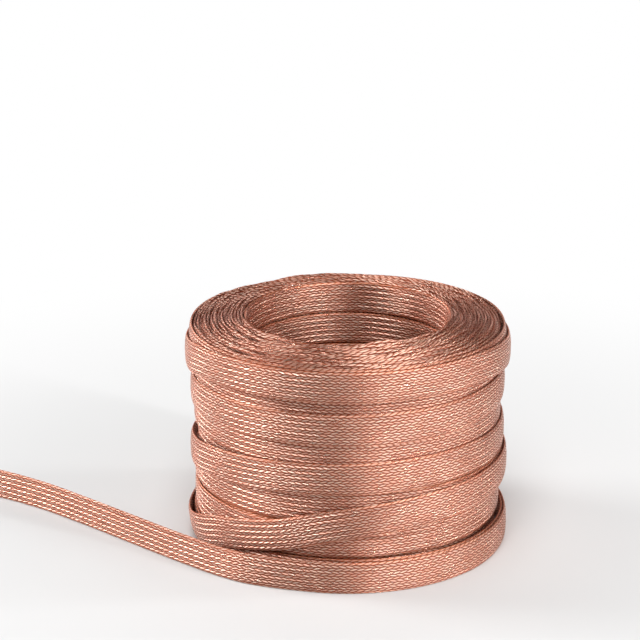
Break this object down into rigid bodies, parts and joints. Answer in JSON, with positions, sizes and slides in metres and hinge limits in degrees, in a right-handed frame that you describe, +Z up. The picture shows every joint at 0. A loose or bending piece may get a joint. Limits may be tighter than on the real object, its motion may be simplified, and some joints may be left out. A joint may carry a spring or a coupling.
{
  "type": "roll of flat braided copper busbar braid",
  "caption": "Coreless roll of flat bare-copper braid for flexible busbar and earthing links, standing on its end, with the outer end of the braid lying free beside it.",
  "frame": {"origin": "on the ground, under the middle of the box round the whole object, roll and free end together; the roll's own axis stands at x = +56.4 mm, y = 0", "axes": "+Z up along the roll's axis; +X along the longest side, away from the tip of the free end and towards the roll; the side with the free end's exit faces -Y"},
  "size_m": [0.2642, 0.1512, 0.11],
  "materials": {
    "wound_braid": null,
    "free_braid": null
  },
  "bodies": {
    "root": {"wound_roll": "wound_braid", "free_end": "free_braid"}
  },
  "joints": []
}
